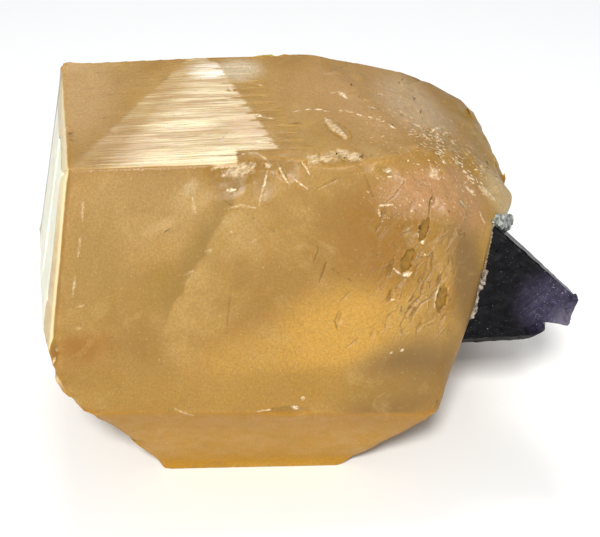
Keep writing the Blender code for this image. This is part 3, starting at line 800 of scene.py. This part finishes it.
def cloudyHoney(n):
    # cloudy amber with warm, pale and dark zones, an inner veil, wisps and grain
    clouds = n.noise(14, 4, 0.55, distortion=0.6)
    colour = n.mix(n.span(clouds, 0.36, 0.64), honey["dark"], honey["light"])
    for face, centre, size, turn, tint, strength in honey["zones"]:
        inZone = n.span(n.ball(n.inFace(face, centre, size, turn)), 0.0, 0.65)
        colour = n.mix(n.times(inZone, strength), colour, tint)
    colour = veil(n, colour)
    behindFront = n.under("front")[0]
    onLower = n.times(n.span(behindFront, 0.02, 0.30), n.span(n.under("lower")[0], 0.7, 0.4), 0.85)
    tone = n.mix(n.span(behindFront, 1.0, 11.0), honey["lowerTop"], honey["lowerFoot"])
    colour = n.mix(onLower, colour, tone)
    wisps = n.noise(5, 6, 0.6, distortion=1.2)
    colour = n.mix(n.span(wisps, 0.52, 0.76, 0.0, 0.40), colour, honey["wispLight"])
    colour = n.mix(n.span(wisps, 0.46, 0.28, 0.0, 0.30), colour, honey["wispDark"])
    colour = n.mix(n.span(n.noise(0.36, 2, 0.6), 0.3, 0.7, 0.0, 0.40), colour, honey["grain"])
    return n.mix(n.span(n.noise(0.34, 1, 0.5), 0.70, 0.77, 0.0, 0.30), colour, honey["dots"])


def sheenStreaks(n, colour, fine):
    # streaks that run along the ridges, from a slanting left limit to a slanting right one, with a painted
    # sheen: cream streaks and patches stand in for light reflected by the ridges
    wide = n.noise(1.0, 3, 0.6, vector=n.inFace("striated", size=(20, 1.9, 1.9), turn=1.2))
    streak = n.plus(n.times(fine, 0.5), n.times(wide, 0.5))
    tone = n.mix(n.span(streak, 0.42, 0.62), honey["silkShadow"], honey["silkSheen"])
    for centre, size, turn, tint, strength in honey["silkZones"]:
        amount = n.span(n.ball(n.inFace("striated", centre, size, turn)), 0.0, 0.5, 0.0, strength)
        tone = n.mix(n.times(amount, n.span(fine, 0.42, 0.56, 0.2, 1.0)), tone, tint)
    tone = n.mix(n.span(n.noise(0.5, 1), 0.74, 0.79, 0.0, 0.7), tone, honey["deep"])
    mask = n.mask("silkSheen")
    silkSheen = n.span(n.plus(mask, n.span(fine, 0.3, 0.7, -0.35, 0.35, smooth=False)), 0.0, 1.05)
    _, across, up = n.under("striated")
    left = n.plus(n.minus(across, n.times(up, 0.65)), n.span(fine, 0.3, 0.7, -0.9, 0.9))
    left = n.times(n.span(left, -23.4, -22.8, 0.0, 0.45), n.span(fine, 0.42, 0.60, 0.4, 1.0),
                   n.span(up, -14.0, -6.0, 0.4, 1.0))
    right = n.plus(across, n.times(up, 0.34), n.span(fine, 0.3, 0.7, -0.5, 0.5))
    silkSheen = n.times(n.largest(silkSheen, left), n.span(mask, 0.0, 0.10), n.span(right, -0.75, -1.25),
                   n.span(n.under("front")[0], 0.08, 0.20))
    return n.mix(silkSheen, colour, tone)


def flecks(n, rough):
    # tiny flakes on the rough parts, stretched down to the right and in groups, and painted shade in tiny
    # pits
    anyRough = n.span(rough, 0.03, 0.40)
    bits = n.noise(0.42, 2, 0.5, vector=n.inMm(stretch=(1.8, 0.9, 0.9), turn=(0, 35, 0)))
    dense = n.times(n.span(n.noise(3.0, 3, 0.6), 0.40, 0.60, 0.15, 1.0), rough)
    bright = n.span(n.plus(bits, n.times(dense, 0.16)), 0.69, 0.74)
    pitShade = n.span(n.minus(bits, n.times(dense, 0.15)), 0.30, 0.26)
    return n.times(bright, anyRough, 0.75), n.times(pitShade, anyRough, 0.65)


def honeyCalcite():
    n = Nodes("honeyCalcite")
    rough = n.mask("rough")
    fine = n.noise(1.0, 5, 0.7, vector=n.inFace("striated", size=(15, 0.24, 0.24), turn=1.2))
    colour = sheenStreaks(n, cloudyHoney(n), fine)
    # painted shade darkens the hollows, and the shade mask darkens grooves, cracks and pit walls; rims and
    # flakes are frosted
    colour = n.mix(n.times(n.mask("hollow"), 0.35), colour, honey["deep"])
    colour = leftEnd(n, colour)
    colour = n.mix(n.times(n.mask("shade"), 0.75), colour, honey["deep"])
    # painted shade in each crease, and a painted highlight in the frost colour on its lit side
    creaseLine = creaseLines(n)
    litSide = n.times(creaseLines(n, 0.13), n.minus(1.0, creaseLine), 0.16)
    colour = n.mix(litSide, colour, honey["frost"])
    colour = n.mix(n.times(creaseLine, 0.75), colour, honey["deep"])
    inPit = n.mix(n.span(n.noise(1.2, 3, 0.6), 0.35, 0.65), honey["glow"], honey["glowShadow"])
    colour = n.mix(n.times(n.mask("glow"), 0.9), colour, inPit)
    colour = n.mix(n.times(n.mask("rim"), 0.12), colour, honey["rim"])
    strokes = n.noise(1.0, 3, 0.7, vector=n.inFace("front", size=(1.0, 0.36, 0.5), turn=28))
    frost = n.times(n.mask("frost"), n.span(strokes, 0.42, 0.58, 0.3, 1.0),
                    n.span(n.noise(1.7, 3, 0.6), 0.36, 0.56, 0.35, 1.0))
    bright, pitShade = flecks(n, rough)
    colour = n.mix(pitShade, colour, honey["deep"])
    white = n.largest(frost, bright)
    n.set(Base_Color=n.mix(white, colour, honey["frost"]), IOR=1.55, Specular_IOR_Level=0.27)
    # light scatters inside the cloudy crystal, less so in frosted spots
    n.set(Subsurface_Weight=n.span(white, 0.0, 0.6, 0.75, 0.1), Subsurface_Scale=0.003,
          Subsurface_Radius=honey["scatter"])
    gloss = n.largest(n.span(n.noise(3, 3), 0.3, 0.7, 0.38, 0.52), n.times(n.mask("glow"), 0.85),
                      n.times(n.mask("hollow"), 0.65))
    n.set(Roughness=n.times(gloss, n.span(n.mask("silkSheen"), 0.0, 1.0, 1.0, 0.8)))
    # fine unevenness, creases, scales and streaks
    creases = n.noise(0.9, 4, 0.7, vector=n.inMm(stretch=(2.2, 0.8, 0.8), turn=(0, 35, 0)))
    scales = n.times(n.noise(0.55, 2, 0.5), n.span(rough, 0.25, 0.7))
    normal = n.bump(n.noise(0.35, 3, 0.6), 0.4, 0.06)
    normal = n.bump(n.times(creases, rough), 0.7, 0.18, normal)
    normal = n.bump(scales, 0.8, 0.22, normal)
    normal = n.bump(n.times(creaseLine, -1.0), 0.6, 0.06, normal)
    n.set(Normal=n.bump(n.times(fine, n.mask("silkSheen")), 0.4, 0.08, normal))
    return n.material


# The fluorite: its heart, two of its faces as (direction, slope, distance), how its top leans, where
# its outline swells and the nubs at its tip (places and sizes in mm), the balls in which it glows
# and turns pale (place on the front face, radii in mm), and its colours.
fluorite = {
    "heart": Vector((33.5, -12.7, 36)),
    "front": (-5, 22, 7.2),
    "upper": (109.5, 46, 6.55),
    "lean": 0.02,
    "swells": [((46.6, -23.6, 31), 2, (0.35, 0, -0.35))],
    "nubs": [((47.4, -22.2, 35), 1.1), ((46.7, -22.9, 33), 1), ((46.4, -23.4, 31.6), 1),
             ((41.6, -23.7, 30), 1.6), ((40.2, -23.7, 29.4), 1.4)],
    "glowAt": ((12.5, -5.5), (9.5, 9, 8)),
    "tipAt": ((15, -8.5), (6, 6, 4.5)),
    "black": (0.0016, 0.0014, 0.0022),
    "violet": (0.052, 0.042, 0.08),
    "tip": (0.15, 0.135, 0.18),
    "dust": (0.26, 0.25, 0.26),
    "glint": (0.42, 0.4, 0.45),
}


def onFluorite(across, up):
    # a place on the fluorite's front face, in mm
    direction, slope, distance = fluorite["front"]
    normal = facing(direction, slope)
    side = Vector((0, 0, 1)).cross(normal).normalized()
    return fluorite["heart"] + normal * distance + side * across + normal.cross(side) * up


def violetFluorite():
    n = Nodes("violetFluorite")

    def softly(name):
        (across, up), radii = fluorite[name]
        return n.ball(n.mapped(onFluorite(across, up), (0, 0, 0), radii))

    streaks = n.noise(1.0, 4, 0.65, vector=n.inMm(stretch=(5.0, 5.0, 0.4), turn=(0, -38, 0)))
    glow = n.times(n.span(softly("glowAt"), 0.0, 0.7), n.span(streaks, 0.3, 0.7, 0.6, 1.0),
                   n.span(n.noise(0.9, 4, 0.7), 0.35, 0.65, 0.55, 1.0))
    tip = n.span(softly("tipAt"), 0.1, 0.8, 0.0, 0.7)
    colour = n.mix(tip, n.mix(glow, fluorite["black"], fluorite["violet"]), fluorite["tip"])
    colour = n.mix(n.span(n.noise(0.30, 3, 0.8), 0.66, 0.74, 0.0, 0.45), colour, fluorite["dust"])
    # painted glints: pale specks, more of them where the cube glows or turns pale
    glints = n.plus(n.noise(0.24, 2, 0.6), n.times(n.largest(glow, tip), 0.10))
    colour = n.mix(n.span(glints, 0.70, 0.78, 0.0, 0.6), colour, fluorite["glint"])
    n.set(Base_Color=colour, IOR=1.434, Specular_IOR_Level=0.13,
          Roughness=n.span(n.noise(1.6, 4, 0.7), 0.3, 0.7, 0.30, 0.48))
    n.set(Normal=n.bump(streaks, 0.3, 0.05, n.bump(n.noise(0.5, 4, 0.6), 0.35, 0.05)))
    return n.material


# Small grains beside a line of places, in mm: at the corner and along the contact.
# A cluster is a stretch of the line, how far its grains spread from it, their count and sizes.
# Grey and pink each have a dark and a light shade.
druse = {
    "seed": 21,
    "turn": 6.3,  # grains are turned at random by up to this, in radians
    "grey": ((0.12, 0.125, 0.11), (0.33, 0.34, 0.31)),
    "pink": ((0.14, 0.11, 0.085), (0.37, 0.31, 0.25)),
    "brown": (0.26, 0.165, 0.085),
    "druse_crust": {
        "name": "cornerDruse",
        "line": [(33.8, -15.2, 46.3), (35.8, -11.3, 44.1), (37.6, -7.5, 41.8)],
        "clusters": [
            (0, 1, (0.5, 0.1, 0.5), 60, (0.6, 1.4)),
            (0, 1, (-0.3, -0.1, -1.3), 60, (0.7, 1.5)),
        ],
        "thinned": 0.35,
    },
    "druse_seam": {
        "name": "seamDruse",
        "line": [(33.5, -16.4, 46), (32.1, -19.2, 38.6), (30.8, -21, 34), (28.2, -23.6, 27.3)],
        "clusters": [
            (0, 1, (0.15, -0.05, 0), 260, (0.2, 0.42)),
            (0.34, 0.55, (0.55, -0.1, 0.2), 34, (0.3, 0.7)),
            (0.64, 0.73, (0.4, -0.1, 0.1), 14, (0.3, 0.7)),
            (0.73, 0.82, (0.75, -0.1, 0.1), 24, (0.35, 0.8)),
        ],
        "thinned": 0.8,
    },
}


def greyDruse():
    n = Nodes("greyDruse")
    grey = n.mix(n.span(n.noise(0.9, 3), 0.38, 0.62), *druse["grey"])
    pink = n.mix(n.span(n.noise(0.7, 3), 0.38, 0.62), *druse["pink"])
    right, _, height = n.axes(n.inMm())
    seam = n.mix(n.span(height, 38.0, 40.0), pink, druse["brown"])
    n.set(Base_Color=n.mix(n.span(right, 33.0, 34.2), seam, grey), IOR=1.434,
          Roughness=n.span(n.noise(0.6, 2), 0.3, 0.7, 0.15, 0.40))
    n.set(Normal=n.bump(n.noise(0.3, 3), 0.4, 0.04))
    return n.material


def crystalPiece():
    bm = calciteMesh()
    masks = calciteRelief(bm)
    finishPiece(bm, "honeyCrystal", honeyCalcite(), "calcite_crystal", masks)


def fluoritePiece():
    bm = solidMesh("fluorite_crystal", 1e-6)
    plainFaces(bm)
    refine(bm, lambda points: np.where(points[:, 1] < -14, 0.7, 1.5), 8)
    # the corners are worn and the skin is slightly uneven
    sharp = [e for e in bm.edges if len(e.link_faces) == 2 and e.calc_face_angle(0) > radians(25)]
    worn = {v for e in sharp for v in e.verts}
    smooth(bm, list(worn))
    bm.normal_update()
    points = np.array([v.co for v in bm.verts]) / mm
    rise = noiseAt(points, 2.2, 5) * 0.10 + noiseAt(points, 0.8, 7) * 0.05
    for v, lift in zip(bm.verts, rise):
        v.co += v.normal * (lift * mm * (2.0 if v in worn else 0.5))
    (*top, height), (*front, reach) = fluorite["upper"], fluorite["front"]
    above, ahead = facing(*top), facing(*front)
    for v in bm.verts:
        out = v.co / mm - fluorite["heart"]
        near = max(0, 1 - (height - out.dot(above)) / 3)
        v.co -= above * mm * near * min(reach - out.dot(ahead), 16) * fluorite["lean"]
    for place, reach, push in fluorite["swells"]:
        for v in bm.verts:
            v.co += Vector(push) * mm * max(0, 1 - (v.co / mm - Vector(place)).length / reach) ** 2
    for place, size in fluorite["nubs"]:
        addGrain(bm, Vector(place), size, 0.6, 0.9, 0.3, 2)
    finishPiece(bm, "violetCube", violetFluorite(), "fluorite_crystal")


def along(path, share):
    spot = share * (len(path) - 1)
    i = min(int(spot), len(path) - 2)
    return Vector(path[i]).lerp(Vector(path[i + 1]), spot - i)


def nearest(path, spot):
    found = []
    for start, end in zip(path, path[1:]):
        start, way = Vector(start), Vector(end) - Vector(start)
        found.append(start + way * min(max((spot - start).dot(way) / way.length_squared, 0), 1))
    return min(found, key=lambda place: (place - spot).length)


def drusePieces():
    material = greyDruse()
    chance = random.Random(druse["seed"])
    for node in ("druse_crust", "druse_seam"):
        plan = druse[node]
        bm = solidMesh(node, 1e-6)
        for v in bm.verts:
            v.co = v.co.lerp(nearest(plan["line"], v.co / mm) * mm, plan["thinned"])
        for first, last, spread, count, sizes in plan["clusters"]:
            for _ in range(count):
                place = along(plan["line"], chance.uniform(first, last)) + Vector(spread) * chance.random()
                size = chance.uniform(*sizes)
                spin, tilt = chance.uniform(0, druse["turn"]), chance.uniform(0, druse["turn"])
                addGrain(bm, place, size, spin, tilt, 0.28, 1)
        finishPiece(bm, plan["name"], material, node, sharp=8)


studio = {
    "floor": 3.0,
    "target": Vector((0.0005, -0.0087, 0.033)),
    "elevation": 30.0,
    "distance": 0.256,
    "lens": 85.0,
    "world": 0.35,
    "sky": (0.82, 0.89, 1, 1),
    "paper": (0.95, 0.95, 0.94, 1),
    "daylight": (1, 0.985, 0.955),
    # name: direction, elevation, distance, size, watts
    "lights": {
        "windowFront": (-4, 40, 0.8, 0.11, 7.2),
        "windowBack": (-178, 66, 0.8, 0.3, 2.2),
    },
}


def buildStudio():
    scene = bpy.context.scene
    bm = bmesh.new()
    bmesh.ops.create_grid(bm, x_segments=1, y_segments=1, size=studio["floor"])
    mesh = bpy.data.meshes.new("floor")
    bm.to_mesh(mesh)
    bm.free()
    floor = bpy.data.objects.new("floor", mesh)
    scene.collection.objects.link(floor)
    paper = Nodes("whitePaper")
    paper.set(Base_Color=studio["paper"], Roughness=0.8, Specular_IOR_Level=0.1)
    mesh.materials.append(paper.material)
    world = bpy.data.worlds.new("whiteRoom")
    world.use_nodes = True
    background = world.node_tree.nodes["Background"]
    background.inputs["Color"].default_value = studio["sky"]
    background.inputs["Strength"].default_value = studio["world"]
    scene.world = world
    for name, (direction, elevation, distance, size, watts) in studio["lights"].items():
        lamp = bpy.data.lights.new(name, "AREA")
        lamp.shape = "SQUARE"
        lamp.size = size
        lamp.energy = watts
        lamp.color = studio["daylight"]
        light = bpy.data.objects.new(name, lamp)
        towards = facing(direction, elevation)
        light.location = studio["target"] + towards * distance
        light.rotation_euler = towards.to_track_quat("Z", "Y").to_euler()
        scene.collection.objects.link(light)
    camera = bpy.data.objects.new("camera", bpy.data.cameras.new("camera"))
    camera.data.lens = studio["lens"]
    camera.data.sensor_width = 36.0
    camera.data.clip_start = 0.01
    towards = facing(0, studio["elevation"])
    camera.location = studio["target"] + towards * studio["distance"]
    camera.rotation_euler = towards.to_track_quat("Z", "Y").to_euler()
    scene.collection.objects.link(camera)
    scene.camera = camera
    scene.view_settings.view_transform = "Standard"
    print("studio ready")


buildStudio()
crystalPiece()
fluoritePiece()
drusePieces()
